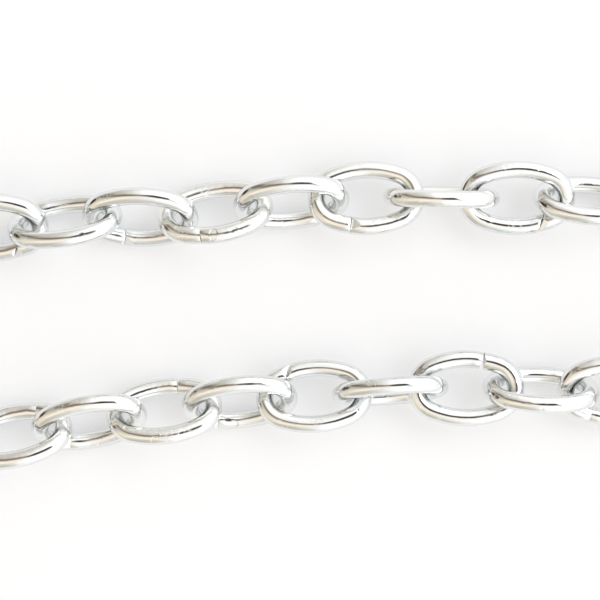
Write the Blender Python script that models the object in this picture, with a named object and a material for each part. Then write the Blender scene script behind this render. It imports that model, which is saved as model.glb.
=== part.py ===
# One cut length of oval cable chain in polished aluminium wire.
# It lies on a level floor, turned back on itself, so it makes two runs side by side.
# All sizes are in metres. X runs along the two runs, Y across them, Z up.
import math

import bmesh
import bpy
from mathutils import Euler, Matrix, Vector

MM = 0.001

# Size of one link, outside to outside, and of the round wire it is bent from
LINK_LENGTH = 12.0 * MM
LINK_WIDTH = 7.8 * MM
WIRE_DIAMETER = 1.8 * MM
# Bend of the wire's centreline round each end of the oval
END_BEND_RADIUS = 2.5 * MM

# Facets of the wire and of its bends
WIRE_SIDES = 8
END_STEPS = 7
SIDE_STEPS = 4
SMOOTH_ANGLE = 60.0
MERGE_DISTANCE = 0.001 * MM

# A link that leans less than this hangs in its neighbours, a little below their middles
HANGING_LEAN = 42.0
HANGING_DROP = 0.1 * MM
# A free end link tips down until its outer end is almost on the floor
END_TIP = 12.0
END_HEIGHT = 2.45 * MM

# How each link lies, in order along the chain. The first number is the way it points,
# the second how far its plane leans over, both in degrees. The third is how far it is
# pushed up to the link before it, in millimetres short of taut.
START_RUN = [
    (14, -18, 0.6), (6, 58, 0.9), (-6, -40, 0.6), (4, 46, 0.6), (-7, -44, 0.6),
]
FIRST_RUN = [
    (0, 32, 0.6), (8, -53, 0.7), (-1, 45, 0.6), (9, -38, 0.65), (5, 54, 0.5),
    (2, -12, 0.7), (-1, -83, 0.7), (0, 13, 0.65), (-4, -54, 0.7),
]
TURN = [
    (10, 40, 0.5), (4, -45, 0.6), (-17, 44, 0.8), (-44, -46, 0.9), (-84, 45, 1.0),
    (-123, -44, 0.9), (-161, 46, 0.9), (-192, -42, 0.8), (-186, 58, 0.7),
]
SECOND_RUN = [
    (-180, -20, 0.7), (-182, 62, 0.7), (-180, 0, 0.7), (-176, -77, 0.6), (-176, 18, 0.6),
    (-174, -50, 0.7), (-173, 36, 0.6), (-170, -49, 0.6), (-169, 41, 0.6),
]
END_RUN = [
    (-178, -46, 0.6), (-188, 43, 0.6), (-183, -58, 0.6), (-196, 20, 0.9),
]

CHAIN = START_RUN + FIRST_RUN + TURN + SECOND_RUN + END_RUN


def aluminium():
    material = bpy.data.materials.new("aluminium_wire")
    material.use_nodes = True
    shader = material.node_tree.nodes["Principled BSDF"]
    shader.inputs["Base Color"].default_value = (0.86, 0.86, 0.87, 1.0)
    shader.inputs["Metallic"].default_value = 1.0
    shader.inputs["Roughness"].default_value = 0.12
    return material


def wire_section(place, heading):
    """The rim of the faceted wire where it passes a place, facing along a heading."""
    # The corners stand out a little so that the faceted wire has the round wire's section area
    area_share = WIRE_SIDES / 2 * math.sin(2 * math.pi / WIRE_SIDES)
    corner_radius = WIRE_DIAMETER / 2 * math.sqrt(math.pi / area_share)
    section = bmesh.new()
    flat_side_out = Matrix.Rotation(math.pi / WIRE_SIDES, 4, "Z")
    upright = Matrix.Rotation(heading, 4, "Z") @ Matrix.Rotation(math.pi / 2, 4, "X")
    bmesh.ops.create_circle(
        section,
        cap_ends=False,
        radius=corner_radius,
        segments=WIRE_SIDES,
        matrix=Matrix.Translation(place) @ upright @ flat_side_out,
    )
    return section


def link_mesh():
    """A ring of wire bent round an oval: two tight end bends and two long, slightly bowed sides."""
    half_length = (LINK_LENGTH - WIRE_DIAMETER) / 2
    half_width = (LINK_WIDTH - WIRE_DIAMETER) / 2
    bend = END_BEND_RADIUS
    reach = half_length - bend
    side_radius = (reach ** 2 + half_width ** 2 - bend ** 2) / (2 * (half_width - bend))
    spread = math.asin(reach / (side_radius - bend))
    end_turn = math.pi - 2 * spread
    side_turn = 2 * spread
    right = Vector((reach, 0.0, 0.0))
    below = Vector((0.0, half_width - side_radius, 0.0))
    heading = spread - math.pi / 2
    start = right + Vector((math.cos(heading), math.sin(heading), 0.0)) * bend
    ring = wire_section(start, heading)
    bends = [
        (right, end_turn, END_STEPS),
        (below, side_turn, SIDE_STEPS),
        (-right, end_turn, END_STEPS),
        (-below, side_turn, SIDE_STEPS),
    ]
    front = list(ring.verts) + list(ring.edges)
    for middle, turn, steps in bends:
        swept = bmesh.ops.spin(
            ring, geom=front, cent=middle, axis=(0.0, 0.0, 1.0), angle=turn, steps=steps
        )
        front = swept["geom_last"]
    bmesh.ops.remove_doubles(ring, verts=ring.verts[:], dist=MERGE_DISTANCE)
    bmesh.ops.recalc_face_normals(ring, faces=ring.faces[:])
    mesh = bpy.data.meshes.new("oval_link")
    ring.to_mesh(mesh)
    ring.free()
    mesh.shade_smooth()
    mesh.set_sharp_from_angle(angle=math.radians(SMOOTH_ANGLE))
    return mesh


def link_turn(heading, lean, tip):
    """Leans a flat link's plane over, tips its front end up and turns it to its heading."""
    return Euler((math.radians(lean), math.radians(-tip), math.radians(heading)), "XYZ")


def floor_height(lean):
    """Height of a link's centre when its lower side rests on the floor."""
    half_width = (LINK_WIDTH - WIRE_DIAMETER) / 2
    return WIRE_DIAMETER / 2 + half_width * abs(math.sin(math.radians(lean)))


def lying_height(k):
    """Height of a link's centre: on its own lower side, or hanging in its neighbours."""
    lean = CHAIN[k][1]
    if k == 0 or k == len(CHAIN) - 1:
        return END_HEIGHT
    if abs(lean) > HANGING_LEAN:
        return floor_height(lean)
    held = (floor_height(CHAIN[k - 1][1]) + floor_height(CHAIN[k + 1][1])) / 2
    return max(floor_height(lean), held - HANGING_DROP)


def chain_places():
    """Where every link of the chain lies, walked from the first free end to the last."""
    taut_pitch = LINK_LENGTH - 2 * WIRE_DIAMETER
    places = []
    centre = Vector((0.0, 0.0, 0.0))
    for k, (heading, lean, slack) in enumerate(CHAIN):
        step = (taut_pitch - slack * MM) / 2
        ahead = Vector((math.cos(math.radians(heading)), math.sin(math.radians(heading)), 0.0))
        if k > 0:
            centre = centre + (last_ahead + ahead) * step
        tip = 0.0
        if k == 0:
            tip = END_TIP
        if k == len(CHAIN) - 1:
            tip = -END_TIP
        place = Vector((centre.x, centre.y, lying_height(k)))
        places.append((place, link_turn(heading, lean, tip)))
        last_ahead = ahead
    return places


def add_link(name, mesh, place, turn, chain):
    """One link of the chain, placed by its location and rotation under the chain's empty."""
    link = bpy.data.objects.new(name, mesh)
    link.location = place
    link.rotation_euler = turn
    link.parent = chain
    bpy.context.scene.collection.objects.link(link)
    return link


def centre_on_floor(chain, links):
    """Moves the chain so that it is centred on the origin and its lowest link touches the floor."""
    bpy.context.view_layer.update()
    points = [link.matrix_world @ v.co for link in links for v in link.data.vertices]
    low = Vector([min(p[i] for p in points) for i in range(3)])
    high = Vector([max(p[i] for p in points) for i in range(3)])
    chain.location = (-(low.x + high.x) / 2, -(low.y + high.y) / 2, -low.z)


def build():
    for old in list(bpy.data.objects):
        bpy.data.objects.remove(old)
    mesh = link_mesh()
    mesh.materials.append(aluminium())
    chain = bpy.data.objects.new("chain", None)
    bpy.context.scene.collection.objects.link(chain)
    links = []
    for k, (place, turn) in enumerate(chain_places()):
        links.append(add_link("link_%02d" % (k + 1), mesh, place, turn, chain))
    centre_on_floor(chain, links)


build()
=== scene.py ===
import math
import random

import bpy
import numpy as np
from mathutils import Matrix, Vector


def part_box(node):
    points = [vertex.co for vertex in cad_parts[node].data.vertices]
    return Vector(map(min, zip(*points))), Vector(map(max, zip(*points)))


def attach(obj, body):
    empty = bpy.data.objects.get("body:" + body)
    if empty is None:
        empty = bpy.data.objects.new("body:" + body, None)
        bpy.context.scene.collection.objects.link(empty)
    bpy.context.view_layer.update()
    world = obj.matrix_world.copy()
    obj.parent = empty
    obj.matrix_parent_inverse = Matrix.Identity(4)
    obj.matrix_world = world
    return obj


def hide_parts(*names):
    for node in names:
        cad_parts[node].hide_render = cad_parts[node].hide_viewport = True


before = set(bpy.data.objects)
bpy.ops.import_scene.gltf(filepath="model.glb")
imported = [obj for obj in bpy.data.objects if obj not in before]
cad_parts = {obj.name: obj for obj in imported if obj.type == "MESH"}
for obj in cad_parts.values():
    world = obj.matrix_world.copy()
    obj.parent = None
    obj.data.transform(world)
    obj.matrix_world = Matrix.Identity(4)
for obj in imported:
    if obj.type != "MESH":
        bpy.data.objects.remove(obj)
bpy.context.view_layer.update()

MM = 0.001
# How strongly the light table glows through the floor's paper
FLOOR_GLOW = 0.57

# The link as it is bent: 12 by 7.8 mm outside, in 1.8 mm round wire
LINK_LENGTH = 12.0 * MM
LINK_WIDTH = 7.8 * MM
WIRE = 1.8 * MM
END_BEND = 2.5 * MM
HALF_LENGTH = (LINK_LENGTH - WIRE) / 2
HALF_WIDTH = (LINK_WIDTH - WIRE) / 2
REACH = HALF_LENGTH - END_BEND
SIDE_BEND = (REACH ** 2 + HALF_WIDTH ** 2 - END_BEND ** 2) / (2 * (HALF_WIDTH - END_BEND))
SPREAD = math.asin(REACH / (SIDE_BEND - END_BEND))

WIRE_SIDES = 40
END_STEPS = 30
SIDE_STEPS = 24
# Next to the joint the wire is one long step, so that a slanted cut crosses no ring in it
STRAIGHT_STEP = 0.95 * MM
# Both ends are bent this far past each other before they are cut back
SPARE = 0.8 * MM
RIM = 0.025 * MM
HAIR = 0.008 * MM

# How far from the middle of a long side the wire's two ends meet
NEAR = 1.7 * MM
FAR = 2.55 * MM

# How the wire's two ends were cut: each cut leans towards the link's face and towards its outside,
# in degrees, the cutter pressed a flat on each end this deep, and the two ends miss each
# other by a little, both in mm
FLAT_LEAN = 72
CUTS = {
    "tight": {"first": (3, 2), "second": (-2, -1), "flats": (0, 0), "miss": 0.04},
    "pressed": {"first": (5, 6), "second": (-2, -4), "flats": (0.27, 0.1), "miss": 0.07},
    "sheared": {"first": (9, 34), "second": (-5, -31), "flats": (0.12, 0.2), "miss": 0.1},
    "gaping": {"first": (1, -8), "second": (2, -6), "flats": (0, 0.06), "miss": 0.05},
    "split": {"first": (2, 7), "second": (-1, 6), "flats": (0, 0), "miss": 0.05},
}

# The joints that show from above: the cut, how far from the middle, towards the next link (1) or
# the last one (-1), on the side that lies higher (1) or lower (-1), and opening up (1) or down (-1)
SEEN_JOINTS = {
    5: ("tight", FAR, -1, -1, -1),
    6: ("sheared", FAR, 1, -1, 1),
    7: ("tight", FAR, -1, -1, -1),
    8: ("pressed", NEAR, -1, -1, 1),
    9: ("pressed", NEAR, -1, 1, -1),
    10: ("tight", FAR, 1, -1, -1),
    11: ("pressed", NEAR, -1, 1, 1),
    12: ("tight", FAR, -1, -1, -1),
    13: ("sheared", FAR, 1, -1, 1),
    14: ("tight", FAR, 1, -1, -1),
    24: ("tight", FAR, 1, -1, -1),
    25: ("tight", FAR, -1, -1, -1),
    26: ("gaping", NEAR, -1, 1, 1),
    27: ("tight", FAR, -1, -1, -1),
    28: ("sheared", FAR, 1, -1, 1),
    29: ("pressed", FAR, 1, -1, 1),
    30: ("split", NEAR, -1, -1, 1),
    31: ("tight", FAR, 1, -1, -1),
    32: ("tight", FAR, -1, -1, -1),
    33: ("tight", FAR, 1, -1, -1),
}


def deselect_all():
    if bpy.context.object and bpy.context.object.mode != "OBJECT":
        bpy.ops.object.mode_set(mode="OBJECT")
    bpy.ops.object.select_all(action="DESELECT")


def take(obj):
    """Makes one object the only selected and active one."""
    deselect_all()
    obj.select_set(True)
    bpy.context.view_layer.objects.active = obj


def clear_mesh_selection(obj, kind):
    """Leaves the object in object mode with nothing in its mesh selected."""
    take(obj)
    bpy.ops.object.mode_set(mode="EDIT")
    bpy.ops.mesh.select_mode(type=kind)
    bpy.ops.mesh.select_all(action="DESELECT")
    bpy.ops.object.mode_set(mode="OBJECT")


def joint_place(offset):
    """The middle of the wire where its two ends meet, the way it runs there, and outwards."""
    turn = math.asin(offset / SIDE_BEND)
    outward = Vector((math.sin(turn), math.cos(turn), 0.0))
    along = Vector((-math.cos(turn), math.sin(turn), 0.0))
    centre = Vector((0.0, HALF_WIDTH - SIDE_BEND, 0.0))
    return centre + outward * SIDE_BEND, along, outward


def bend_wire(name, offset):
    """Starts from the round end of a wire and bends it once round the oval with spins."""
    spare_turn = SPARE / SIDE_BEND
    step_turn = STRAIGHT_STEP / SIDE_BEND
    at_joint = math.asin(offset / SIDE_BEND)
    start = Matrix.Rotation(-spare_turn, 4, "Z")
    centre = Vector((0.0, HALF_WIDTH - SIDE_BEND, 0.0))
    place, along, outward = joint_place(offset)
    place = centre + start @ (place - centre)
    turn = (start @ along).to_track_quat("Z", "Y").to_euler()
    deselect_all()
    bpy.ops.mesh.primitive_circle_add(vertices=WIRE_SIDES, radius=WIRE / 2, fill_type="NGON",
                                      location=place, rotation=turn)
    link = bpy.context.object
    link.name = name
    bpy.ops.object.transform_apply(location=True, rotation=True, scale=True)
    bpy.ops.object.mode_set(mode="EDIT")
    bpy.ops.mesh.select_mode(type="FACE")
    bpy.ops.mesh.select_all(action="SELECT")
    upper = (0.0, HALF_WIDTH - SIDE_BEND, 0.0)
    lower = (0.0, SIDE_BEND - HALF_WIDTH, 0.0)
    left = (-REACH, 0.0, 0.0)
    right = (REACH, 0.0, 0.0)
    end_turn = math.pi - 2 * SPREAD
    before = SPREAD + at_joint - step_turn
    after = SPREAD - at_joint
    bends = [
        (upper, spare_turn + step_turn, 1),
        (upper, before, round(SIDE_STEPS * before / (2 * SPREAD))),
        (left, end_turn, END_STEPS),
        (lower, 2 * SPREAD, SIDE_STEPS),
        (right, end_turn, END_STEPS),
    ]
    if after > 1.3 * step_turn:
        bends.append((upper, after - step_turn, 3))
        bends.append((upper, step_turn + spare_turn, 1))
    else:
        bends.append((upper, after + spare_turn, 1))
    for middle, angle, steps in bends:
        bpy.ops.mesh.spin(steps=steps, angle=-angle, center=middle, axis=(0, 0, 1))
    bpy.ops.mesh.select_all(action="SELECT")
    bpy.ops.mesh.normals_make_consistent(inside=False)
    bpy.ops.object.mode_set(mode="OBJECT")
    note_halves(link)
    return link


def note_halves(link):
    """Stores which points are in the wire's last half, while they are still in order along it."""
    count = len(link.data.vertices)
    stored = link.data.attributes.new("last_half", "FLOAT", "POINT")
    stored.data.foreach_set("value", [float(i >= count / 2) for i in range(count)])


def leaning(run, outward, leans):
    """The way a cut faces: straight out of the wire's end, leaned by two angles."""
    up = math.tan(math.radians(leans[0]))
    out = math.tan(math.radians(leans[1]))
    return (run + Vector((0.0, 0.0, up)) + outward * out).normalized()


def saw_end(link, place, facing, joint, run):
    """Cuts one end of the wire back along a plane through a place."""
    clear_mesh_selection(link, "FACE")
    for face in link.data.polygons:
        from_joint = face.center - joint
        facing_out = face.normal.dot(run)
        reach = from_joint.dot(run)
        in_wire = (from_joint - run * reach).length < 0.6 * WIRE and abs(reach) < WIRE
        is_end = facing_out > 0.25 and reach < 1.05 * SPARE
        face.select = in_wire and (is_end or (abs(facing_out) < 0.25 and reach < 0))
    bpy.ops.object.mode_set(mode="EDIT")
    bpy.ops.mesh.bisect(plane_co=place, plane_no=facing, use_fill=True, clear_outer=True)
    bpy.ops.object.mode_set(mode="OBJECT")


def break_rims(link, joint, facings):
    """Gives the cut faces their own finish and takes the sharpness off their edges."""
    clear_mesh_selection(link, "EDGE")
    rim = set()
    for face in link.data.polygons:
        near = (face.center - joint).length < WIRE
        if near and any(face.normal.dot(facing) > 0.999 for facing in facings):
            face.material_index = 1
            rim.update(tuple(sorted(key)) for key in face.edge_keys)
    for edge in link.data.edges:
        edge.select = tuple(sorted(edge.vertices)) in rim
    bpy.ops.object.mode_set(mode="EDIT")
    bpy.ops.mesh.bevel(offset=RIM, segments=2, affect="EDGES")
    bpy.ops.object.mode_set(mode="OBJECT")


def split_cut_faces(link):
    """Splits the many-sided faces from their middles, so that they come out alike each time."""
    clear_mesh_selection(link, "FACE")
    for face in link.data.polygons:
        face.select = len(face.vertices) > 4
    bpy.ops.object.mode_set(mode="EDIT")
    bpy.ops.mesh.poke()
    bpy.ops.object.mode_set(mode="OBJECT")


def cut_joint(link, offset, cut, opens):
    """Cuts both ends of the bent wire so that they meet along a hair line, a notch or a slit."""
    joint, along, outward = joint_place(offset)
    ends = []
    for run, leans, flat in ((-along, cut["first"], cut["flats"][0]),
                             (along, cut["second"], cut["flats"][1])):
        ends.append((run, leaning(run, outward, (leans[0] * opens, leans[1])), flat))
    lean = sum((facing / facing.dot(run) - run for run, facing, flat in ends), Vector())
    half_gap = (lean.length * WIRE / 2 + HAIR) / 2
    facings = []
    for run, facing, flat in ends:
        if flat:
            pressed = leaning(run, outward, (FLAT_LEAN * opens, 0))
            top = Vector((0.0, 0.0, opens * (WIRE / 2 - flat * MM)))
            saw_end(link, joint - run * half_gap + top, pressed, joint, run)
            facings.append(pressed)
        saw_end(link, joint - run * half_gap, facing, joint, run)
        facings.append(facing)
    break_rims(link, joint, facings)
    split_cut_faces(link)


def wire_places(points, offset):
    """For points of a link: how far out from the wire's middle, how far along the wire from
    the joint, how much it lies in an end bend, and the whole length of the wire."""
    x, y = points[:, 0], points[:, 1]
    side = np.where(y >= 0, 1.0, -1.0)
    from_side = np.arctan2(x * side, y * side + (SIDE_BEND - HALF_WIDTH))
    on_side = np.abs(from_side) <= SPREAD
    end = np.where(x >= 0, 1.0, -1.0)
    from_end = np.arctan2(y * end, x * end - REACH)
    side_length = 2 * SPREAD * SIDE_BEND
    end_length = (math.pi - 2 * SPREAD) * END_BEND
    side_start = np.where(side > 0, 0.0, side_length + end_length)
    end_start = np.where(end > 0, 2 * side_length + end_length, side_length)
    along_side = side_start + (SPREAD - from_side) * SIDE_BEND
    along_end = end_start + (from_end + math.pi / 2 - SPREAD) * END_BEND
    out_side = np.hypot(x, y * side + (SIDE_BEND - HALF_WIDTH)) - SIDE_BEND
    out_end = np.hypot(x * end - REACH, y) - END_BEND
    whole = 2 * (side_length + end_length)
    at_joint = (SPREAD - math.asin(offset / SIDE_BEND)) * SIDE_BEND
    along = (np.where(on_side, along_side, along_end) - at_joint) % whole
    out = np.where(on_side, out_side, out_end)
    bend = np.where(on_side, 0.0, np.cos(from_end))
    return out, along, np.clip(bend, 0.0, 1.0), whole


def note_wire(link, offset, miss):
    """Springs the two ends apart sideways and stores the places that the finish and the painted shade
    between links follow.
    """
    mesh = link.data
    count = len(mesh.vertices)
    points = np.zeros(count * 3)
    mesh.vertices.foreach_get("co", points)
    points = points.reshape(-1, 3)
    last_half = np.zeros(count)
    mesh.attributes["last_half"].data.foreach_get("value", last_half)
    mesh.attributes.remove(mesh.attributes["last_half"])
    out, along, bend, whole = wire_places(points, offset)
    # A slanted cut reaches past the middle of the joint, where the count along the wire starts anew
    along[(last_half > 0.5) & (along < whole / 4)] += whole
    along[(last_half < 0.5) & (along > whole * 3 / 4)] -= whole
    wire_place = np.stack([out, points[:, 2], along], axis=1)
    stored = mesh.attributes.new("along_wire", "FLOAT_VECTOR", "POINT")
    stored.data.foreach_set("vector", wire_place.ravel())
    # Inside the end bends, where links sit in each other: a mask for real rub wear and for painted
    # shade in the crevices between links
    inside = np.clip(-out / (WIRE / 2), 0.0, 1.0)
    stored = mesh.attributes.new("rub_and_shade", "FLOAT", "POINT")
    stored.data.foreach_set("value", (bend ** 2 * inside ** 1.5).ravel())
    near_joint = np.minimum(np.abs(along), np.abs(whole - along))
    stored = mesh.attributes.new("pinch", "FLOAT", "POINT")
    stored.data.foreach_set("value", np.exp(-(near_joint / (0.7 * WIRE)) ** 2).ravel())
    points[:, 2] += miss * (along / whole - 0.5)
    mesh.vertices.foreach_set("co", points.ravel())


def make_link(kind, offset, opens):
    """One finished link, lying flat at the origin, with its joint on the +Y side towards +X."""
    link = bend_wire("pattern_link", offset)
    link.data.materials.append(POLISHED)
    link.data.materials.append(SHEARED)
    cut_joint(link, offset, CUTS[kind], opens)
    note_wire(link, offset, CUTS[kind]["miss"] * MM)
    take(link)
    bpy.ops.object.shade_smooth_by_angle(angle=math.radians(28))
    return link


def lying_frame(node, towards):
    """Where a packed link lies: its middle, its long way towards the next link, its width
    towards the side that lies higher, and the way its face looks."""
    points = np.array([v.co for v in node.data.vertices], float)
    points = np.unique(np.round(points, 6), axis=0)
    middle = points.mean(axis=0)
    spread = (points - middle).T @ (points - middle)
    long_way = Vector(np.linalg.eigh(spread)[1][:, 2])
    width = Vector(np.linalg.eigh(spread)[1][:, 1])
    if long_way.dot(towards) < 0:
        long_way = -long_way
    if width.z < -0.02 or (abs(width.z) <= 0.02 and width.y < 0):
        width = -width
    return Vector(middle), long_way.normalized(), width.normalized()


def lay_link(number, node, towards, patterns, rng):
    """Copies a pattern link, turns it into its place in the chain and sets it there."""
    seeded = (rng.choice(("tight", "pressed", "sheared", "split")), rng.choice((NEAR, FAR)),
              rng.choice((1, -1)), rng.choice((1, -1)), -1)
    kind, offset, end, side, opens = SEEN_JOINTS.get(number, seeded)
    middle, long_way, width = lying_frame(node, towards)
    face = long_way.cross(width)
    if abs(face.z) > 0.05 and face.z < 0:
        opens = -opens
    opens_in_pattern = opens * end * side
    key = (kind, offset, opens_in_pattern)
    if key not in patterns:
        patterns[key] = make_link(*key)
    pattern = patterns[key]
    link = pattern.copy()
    link.data = pattern.data.copy()
    link.name = "bent_" + node.name
    link.data.name = link.name
    bpy.context.scene.collection.objects.link(link)
    turn = Matrix((long_way * end, width * side, face * (end * side))).transposed().to_4x4()
    swell = Matrix.Diagonal((1.0, rng.uniform(0.99, 1.008), 1.0, 1.0))
    link.data.transform(Matrix.Translation(middle) @ turn @ swell)
    tone = link.data.attributes.new("tone", "FLOAT", "POINT")
    tone.data.foreach_set("value", [rng.random()] * len(link.data.vertices))
    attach(link, "root")
    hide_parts(node.name)
    return link


def lay_chain():
    rng = random.Random(26)
    names = sorted(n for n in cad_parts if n.startswith("link_"))
    middles = []
    for name in names:
        low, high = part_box(name)
        middles.append((low + high) / 2)
    patterns = {}
    for i, name in enumerate(names):
        ahead = middles[min(i + 1, len(names) - 1)] - middles[max(i - 1, 0)]
        number = int(name.split("_")[1])
        lay_link(number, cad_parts[name], ahead, patterns, rng)
    for pattern in patterns.values():
        bpy.data.objects.remove(pattern)


def new_group(name, inputs, outputs):
    """A shader node group with named sockets, its input and output nodes in place."""
    group = bpy.data.node_groups.new(name, "ShaderNodeTree")
    for label, kind, value in inputs:
        socket = group.interface.new_socket(name=label, in_out="INPUT", socket_type=kind)
        if value is not None:
            socket.default_value = value
    for label, kind in outputs:
        group.interface.new_socket(name=label, in_out="OUTPUT", socket_type=kind)
    start = group.nodes.new("NodeGroupInput")
    start.location = (-900, 0)
    end = group.nodes.new("NodeGroupOutput")
    end.location = (700, 0)
    return group, start, end


def math_node(tree, operation, first, second=None, third=None):
    """A Math node fed by sockets or plain numbers; gives back its output."""
    node = tree.nodes.new("ShaderNodeMath")
    node.operation = operation
    for socket, value in zip(node.inputs, (first, second, third)):
        if value is None:
            continue
        if isinstance(value, bpy.types.NodeSocket):
            tree.links.new(value, socket)
        else:
            socket.default_value = value
    return node.outputs["Value"]


def vector_node(tree, operation, first, second):
    node = tree.nodes.new("ShaderNodeVectorMath")
    node.operation = operation
    for socket, value in zip(node.inputs, (first, second)):
        if isinstance(value, bpy.types.NodeSocket):
            tree.links.new(value, socket)
        else:
            socket.default_value = value
    return node.outputs["Vector"]


def noise_node(tree, vector, scale, detail, roughness=0.5):
    node = tree.nodes.new("ShaderNodeTexNoise")
    node.inputs["Scale"].default_value = scale
    node.inputs["Detail"].default_value = detail
    node.inputs["Roughness"].default_value = roughness
    tree.links.new(vector, node.inputs["Vector"])
    return node.outputs["Fac"]


def range_node(tree, value, low, high, to_low=0.0, to_high=1.0):
    """Spreads a value out between two limits, smoothly and without overshoot."""
    node = tree.nodes.new("ShaderNodeMapRange")
    node.interpolation_type = "SMOOTHSTEP"
    node.inputs["From Min"].default_value = low
    node.inputs["From Max"].default_value = high
    node.inputs["To Min"].default_value = to_low
    node.inputs["To Max"].default_value = to_high
    tree.links.new(value, node.inputs["Value"])
    return node.outputs["Result"]


def mix_node(tree, factor, first, second):
    """Mixes two colours, each a socket or a plain colour."""
    node = tree.nodes.new("ShaderNodeMix")
    node.data_type = "RGBA"
    tree.links.new(factor, node.inputs[0])
    for socket, value in ((node.inputs[6], first), (node.inputs[7], second)):
        if isinstance(value, bpy.types.NodeSocket):
            tree.links.new(value, socket)
        else:
            socket.default_value = value
    return node.outputs[2]


def drawn_lines_group():
    """Fine lines that the drawing die left along the wire, from places along the wire."""
    group, start, end = new_group(
        "drawn_lines",
        [("Wire Place", "NodeSocketVector", None), ("Lines per Metre", "NodeSocketFloat", 9000.0)],
        [("Height", "NodeSocketFloat"), ("Streaks", "NodeSocketFloat")])
    thin = vector_node(group, "MULTIPLY", start.outputs["Wire Place"], (1.0, 1.0, 0.035))
    scaled = group.nodes.new("ShaderNodeVectorMath")
    scaled.operation = "SCALE"
    group.links.new(thin, scaled.inputs[0])
    group.links.new(start.outputs["Lines per Metre"], scaled.inputs["Scale"])
    fine = noise_node(group, scaled.outputs["Vector"], 1.0, 3.0, 0.6)
    broad = noise_node(group, scaled.outputs["Vector"], 0.22, 2.0, 0.5)
    height = math_node(group, "ADD", math_node(group, "MULTIPLY", fine, 0.6),
                       math_node(group, "MULTIPLY", broad, 0.4))
    group.links.new(height, end.inputs["Height"])
    group.links.new(range_node(group, broad, 0.42, 0.66), end.inputs["Streaks"])
    return group


def handling_marks_group():
    """Short scratches every way, small dents and faint smudges from being handled in bulk."""
    group, start, end = new_group(
        "handling_marks",
        [("Place", "NodeSocketVector", None), ("Amount", "NodeSocketFloat", 1.0)],
        [("Height", "NodeSocketFloat"), ("Smudge", "NodeSocketFloat"), ("Scratch", "NodeSocketFloat")])
    place = start.outputs["Place"]
    scratches = None
    for stretch in ((900.0, 90.0, 400.0), (120.0, 800.0, 300.0)):
        lines = noise_node(group, vector_node(group, "MULTIPLY", place, stretch), 3.0, 2.0, 0.4)
        line = math_node(group, "ABSOLUTE", math_node(group, "SUBTRACT", lines, 0.5))
        cut = range_node(group, line, 0.0, 0.012, 1.0, 0.0)
        patch = range_node(group, noise_node(group, place, 420.0, 1.0), 0.56, 0.66)
        cut = math_node(group, "MULTIPLY", cut, patch)
        scratches = cut if scratches is None else math_node(group, "MAXIMUM", scratches, cut)
    dents = range_node(group, noise_node(group, place, 750.0, 1.0, 0.3), 0.66, 0.76)
    marks = math_node(group, "ADD", math_node(group, "MULTIPLY", scratches, 0.35), dents)
    height = math_node(group, "MULTIPLY", math_node(group, "MULTIPLY", marks, -1.0),
                       start.outputs["Amount"])
    smudge = range_node(group, noise_node(group, place, 190.0, 3.0, 0.6), 0.45, 0.72)
    group.links.new(height, end.inputs["Height"])
    group.links.new(smudge, end.inputs["Smudge"])
    group.links.new(scratches, end.inputs["Scratch"])
    return group


def contact_wear_and_shade_group():
    """Where links sit in each other: polished in the middle, with a dull grey ring round it that is
    partly rub wear and partly painted shade for the dark crevices between the links.
    """
    group, start, end = new_group(
        "contact_wear_and_shade",
        [("Rub and Shade", "NodeSocketFloat", 0.0), ("Place", "NodeSocketVector", None)],
        [("Polished", "NodeSocketFloat"), ("Grey Wear and Shade", "NodeSocketFloat")])
    ragged = math_node(group, "MULTIPLY", noise_node(group, start.outputs["Place"], 1500.0, 3.0), 0.35)
    rub_and_shade = math_node(group, "SUBTRACT", math_node(group, "ADD", start.outputs["Rub and Shade"], ragged), 0.17)
    polished = range_node(group, rub_and_shade, 0.55, 0.8)
    ring = math_node(group, "SUBTRACT", range_node(group, rub_and_shade, 0.25, 0.6), polished)
    group.links.new(polished, end.inputs["Polished"])
    group.links.new(math_node(group, "MAXIMUM", ring, 0.0), end.inputs["Grey Wear and Shade"])
    return group


def place_group(tree, group):
    node = tree.nodes.new("ShaderNodeGroup")
    node.node_tree = group
    return node


def attribute_node(tree, name, output):
    node = tree.nodes.new("ShaderNodeAttribute")
    node.attribute_name = name
    return node.outputs[output]


def start_material(name, metallic):
    material = bpy.data.materials.new(name)
    material.use_nodes = True
    tree = material.node_tree
    shader = tree.nodes["Principled BSDF"]
    shader.inputs["Metallic"].default_value = metallic
    place = tree.nodes.new("ShaderNodeTexCoord").outputs["Object"]
    return material, tree, shader, place


def add_bump(tree, shader, height, distance, strength=1.0):
    bump = tree.nodes.new("ShaderNodeBump")
    bump.inputs["Distance"].default_value = distance
    bump.inputs["Strength"].default_value = strength
    tree.links.new(height, bump.inputs["Height"])
    tree.links.new(bump.outputs["Normal"], shader.inputs["Normal"])


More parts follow.
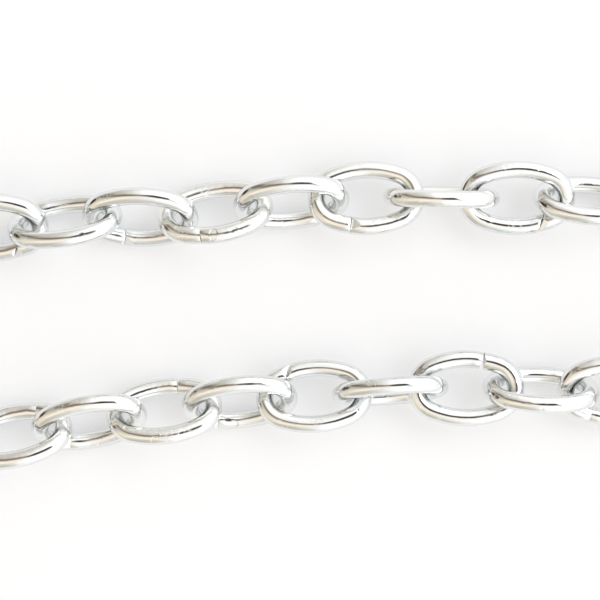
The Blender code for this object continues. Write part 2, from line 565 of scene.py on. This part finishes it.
def polished_wire_material():
    """Bright drawn and tumbled aluminium: lines along the wire, smudges, small marks, rub wear, and
    painted shade in the crevices where links sit in each other.
    """
    material, tree, shader, place = start_material("polished_wire", 1.0)
    lines = place_group(tree, DRAWN_LINES)
    tree.links.new(attribute_node(tree, "along_wire", "Vector"), lines.inputs["Wire Place"])
    marks = place_group(tree, HANDLING_MARKS)
    tree.links.new(place, marks.inputs["Place"])
    worn_and_shaded = place_group(tree, CONTACT_WEAR_AND_SHADE)
    tree.links.new(attribute_node(tree, "rub_and_shade", "Fac"), worn_and_shaded.inputs["Rub and Shade"])
    tree.links.new(place, worn_and_shaded.inputs["Place"])
    tone = attribute_node(tree, "tone", "Fac")
    bright = mix_node(tree, tone, (0.8, 0.815, 0.82, 1.0), (0.84, 0.84, 0.825, 1.0))
    smudged = mix_node(tree, math_node(tree, "MULTIPLY", marks.outputs["Smudge"], 0.35), bright,
                       (0.74, 0.755, 0.75, 1.0))
    # Dark green-grey where links sit in each other: partly rub wear, partly painted shade for the
    # crevices between links
    greyed_and_shaded = mix_node(tree, math_node(tree, "MULTIPLY", worn_and_shaded.outputs["Grey Wear and Shade"], 0.8), smudged,
                      (0.36, 0.4, 0.385, 1.0))
    tree.links.new(greyed_and_shaded, shader.inputs["Base Color"])
    rough = math_node(tree, "MULTIPLY_ADD", lines.outputs["Streaks"], 0.06, 0.055)
    rough = math_node(tree, "MULTIPLY_ADD", marks.outputs["Smudge"], 0.06, rough)
    rough = math_node(tree, "MULTIPLY_ADD", worn_and_shaded.outputs["Grey Wear and Shade"], 0.16, rough)
    rough = math_node(tree, "MULTIPLY_ADD", tone, 0.035, rough)
    rough = math_node(tree, "MULTIPLY_ADD", attribute_node(tree, "pinch", "Fac"), 0.05, rough)
    tree.links.new(rough, shader.inputs["Roughness"])
    height = math_node(tree, "MULTIPLY_ADD", lines.outputs["Height"], 0.25, marks.outputs["Height"])
    waviness = math_node(tree, "MULTIPLY_ADD", tone, 0.9, 0.3)
    height = math_node(tree, "MULTIPLY_ADD", noise_node(tree, place, 1100.0, 1.0), waviness, height)
    add_bump(tree, shader, height, 0.02 * MM)
    return material


def sheared_end_material():
    """The fresh, brighter and rougher face where the wire was cut, with lines down the cut."""
    material, tree, shader, place = start_material("sheared_end", 1.0)
    marks = place_group(tree, HANDLING_MARKS)
    tree.links.new(place, marks.inputs["Place"])
    wire_place = attribute_node(tree, "along_wire", "Vector")
    across = vector_node(tree, "MULTIPLY", wire_place, (14000.0, 1500.0, 1500.0))
    lines = noise_node(tree, across, 1.0, 3.0, 0.6)
    pits = noise_node(tree, place, 9000.0, 2.0, 0.5)
    tone = mix_node(tree, lines, (0.88, 0.885, 0.885, 1.0), (0.97, 0.97, 0.965, 1.0))
    tree.links.new(tone, shader.inputs["Base Color"])
    rough = math_node(tree, "MULTIPLY_ADD", pits, 0.25, 0.26)
    tree.links.new(rough, shader.inputs["Roughness"])
    height = math_node(tree, "MULTIPLY_ADD", pits, 0.6, lines)
    add_bump(tree, shader, height, 0.02 * MM)
    return material


def floor_material():
    """Pale matt paper on a light table, which glows a little through it."""
    material, tree, shader, place = start_material("pale_floor", 0.0)
    shader.inputs["Roughness"].default_value = 0.6
    shader.inputs["Specular IOR Level"].default_value = 0.2
    cloud = noise_node(tree, place, 9.0, 2.0)
    tone = mix_node(tree, cloud, (0.612, 0.618, 0.63, 1.0), (0.62, 0.625, 0.638, 1.0))
    tree.links.new(tone, shader.inputs["Base Color"])
    tree.links.new(tone, shader.inputs["Emission Color"])
    shader.inputs["Emission Strength"].default_value = FLOOR_GLOW
    return material


def soft_patch_group():
    """A soft-edged oval patch on the studio's dome, by its middle, half size and softness."""
    group, start, end = new_group(
        "soft_patch",
        [("Spot", "NodeSocketVector", None), ("Middle", "NodeSocketVector", None),
         ("Half Size", "NodeSocketVector", (1.0, 1.0, 1.0)), ("Turn", "NodeSocketFloat", 0.0),
         ("Softness", "NodeSocketFloat", 0.3)],
        [("Mask", "NodeSocketFloat")])
    turned = group.nodes.new("ShaderNodeVectorRotate")
    turned.rotation_type = "Z_AXIS"
    group.links.new(start.outputs["Spot"], turned.inputs["Vector"])
    group.links.new(start.outputs["Middle"], turned.inputs["Center"])
    group.links.new(math_node(group, "MULTIPLY", start.outputs["Turn"], -1.0),
                    turned.inputs["Angle"])
    away = vector_node(group, "SUBTRACT", turned.outputs["Vector"], start.outputs["Middle"])
    away = vector_node(group, "DIVIDE", away, start.outputs["Half Size"])
    length = group.nodes.new("ShaderNodeVectorMath")
    length.operation = "LENGTH"
    group.links.new(away, length.inputs[0])
    fade = group.nodes.new("ShaderNodeMapRange")
    fade.interpolation_type = "SMOOTHSTEP"
    fade.inputs["To Min"].default_value = 1.0
    fade.inputs["To Max"].default_value = 0.0
    group.links.new(length.outputs["Value"], fade.inputs["Value"])
    inner = math_node(group, "SUBTRACT", 1.0, start.outputs["Softness"])
    outer = math_node(group, "ADD", 1.0, start.outputs["Softness"])
    group.links.new(inner, fade.inputs["From Min"])
    group.links.new(outer, fade.inputs["From Max"])
    group.links.new(fade.outputs["Result"], end.inputs["Mask"])
    return group


# What the bright metal mirrors, as patches on the studio's dome: the middle and half size are in
# units where the dome's top is 0 and its rim is 1, then the turn in degrees, softness, strength
# and colour
DOME_WHITE = 1.4
DOME_PATCHES = [  # (middle), (half size), turn, softness, strength, colour
    # cool, a little darker towards the right rim
    ((1.4, 0.1), (0.72, 1.9), 0, 0.6, 0.9, (0.98, 1.03, 1.04)),
    # whole left half, beige grey
    ((-1.15, 0.0), (1.1, 2.2), 0, 0.15, 1.0, (0.71, 0.685, 0.6)),
    ((-0.6, 1.25), (0.8, 0.6), -10, 0.5, 0.6, (0.68, 0.67, 0.62)),
    # cream, low on the left
    ((-0.42, -0.27), (0.42, 0.26), 14, 0.7, 0.95, (1.02, 0.91, 0.73)),
    ((-0.18, -0.22), (0.18, 0.12), 0, 0.7, 0.8, (1.25, 1.12, 0.97)),
    # grey beige at the bottom
    ((-0.2, -0.85), (0.3, 0.42), 0, 0.5, 0.75, (0.6, 0.57, 0.48)),
    # darker, upper left
    ((-0.6, 0.55), (0.5, 0.22), -50, 0.7, 0.6, (0.46, 0.42, 0.36)),
    ((-0.42, 0.46), (0.2, 0.1), -60, 0.5, 0.95, (0.2, 0.16, 0.12)),
    # small brown spot on the left
    ((-0.76, 0.25), (0.18, 0.26), 0, 0.45, 1.0, (0.07, 0.035, 0.02)),
    # dark bar running down to the middle
    ((-0.17, 0.12), (0.24, 0.09), -38, 0.5, 0.95, (0.25, 0.19, 0.15)),
    ((0.11, 0.03), (0.13, 0.12), -22, 0.3, 1.0, (0.07, 0.055, 0.05)),
    ((0.21, -0.13), (0.03, 0.11), 8, 0.6, 0.6, (0.6, 0.6, 0.62)),
    ((0.31, 0.0), (0.05, 0.05), 0, 0.5, 0.4, (0.8, 0.85, 1.2)),
]
WINDOW_PLACE = (0.28, 0.08, 0.3)


def light_studio():
    world = bpy.data.worlds.new("soft_studio")
    bpy.context.scene.world = world
    world.use_nodes = True
    tree = world.node_tree
    tree.nodes.clear()
    way = tree.nodes.new("ShaderNodeTexCoord").outputs["Generated"]
    split = tree.nodes.new("ShaderNodeSeparateXYZ")
    tree.links.new(way, split.inputs[0])
    rise = math_node(tree, "ADD", math_node(tree, "MAXIMUM", split.outputs["Z"], 0.0), 1.0)
    spot = tree.nodes.new("ShaderNodeVectorMath")
    spot.operation = "SCALE"
    flat = vector_node(tree, "MULTIPLY", way, (1.0, 1.0, 0.0))
    tree.links.new(flat, spot.inputs[0])
    tree.links.new(math_node(tree, "DIVIDE", 1.0, rise), spot.inputs["Scale"])
    patch_group = soft_patch_group()
    colour = (DOME_WHITE, DOME_WHITE, DOME_WHITE, 1.0)
    for middle, half_size, lean, softness, strength, tint in DOME_PATCHES:
        patch = place_group(tree, patch_group)
        tree.links.new(spot.outputs["Vector"], patch.inputs["Spot"])
        patch.inputs["Middle"].default_value = (*middle, 0.0)
        patch.inputs["Half Size"].default_value = (*half_size, 1.0)
        patch.inputs["Turn"].default_value = math.radians(lean)
        patch.inputs["Softness"].default_value = softness
        mask = math_node(tree, "MULTIPLY", patch.outputs["Mask"], strength)
        colour = mix_node(tree, mask, colour, (*tint, 1.0))
    dome = tree.nodes.new("ShaderNodeBackground")
    tree.links.new(colour, dome.inputs["Color"])
    plain = tree.nodes.new("ShaderNodeBackground")
    plain.inputs["Color"].default_value = (0.95, 0.95, 0.95, 1.0)
    seen = tree.nodes.new("ShaderNodeLightPath").outputs["Is Camera Ray"]
    choose = tree.nodes.new("ShaderNodeMixShader")
    tree.links.new(seen, choose.inputs[0])
    tree.links.new(dome.outputs[0], choose.inputs[1])
    tree.links.new(plain.outputs[0], choose.inputs[2])
    end = tree.nodes.new("ShaderNodeOutputWorld")
    tree.links.new(choose.outputs[0], end.inputs["Surface"])
    deselect_all()
    bpy.ops.object.light_add(type="AREA", location=WINDOW_PLACE)
    window = bpy.context.object
    window.name = "soft_window"
    window.rotation_euler = Vector(WINDOW_PLACE).to_track_quat("Z", "Y").to_euler()
    window.data.shape = "DISK"
    window.data.size = 0.3
    window.data.energy = 0.35
    window.data.color = (0.98, 0.99, 1.0)


def lay_floor():
    deselect_all()
    bpy.ops.mesh.primitive_plane_add(size=6.0, location=(0.0, 0.0, 0.0))
    floor = bpy.context.object
    floor.name = "floor"
    floor.data.materials.append(floor_material())


def set_camera():
    """Looks straight down on the middle of the doubled chain, as the photograph does."""
    deselect_all()
    bpy.ops.object.camera_add(location=(0.0054, 0.00164, 0.2), rotation=(0.0, 0.0, 0.0))
    camera = bpy.context.object
    camera.data.lens = 114.8
    camera.data.sensor_width = 36.0
    camera.data.clip_start = 0.01
    bpy.context.scene.camera = camera


DRAWN_LINES = drawn_lines_group()
HANDLING_MARKS = handling_marks_group()
CONTACT_WEAR_AND_SHADE = contact_wear_and_shade_group()
POLISHED = polished_wire_material()
SHEARED = sheared_end_material()

lay_chain()
lay_floor()
light_studio()
set_camera()
bpy.context.scene.view_settings.view_transform = "Standard"
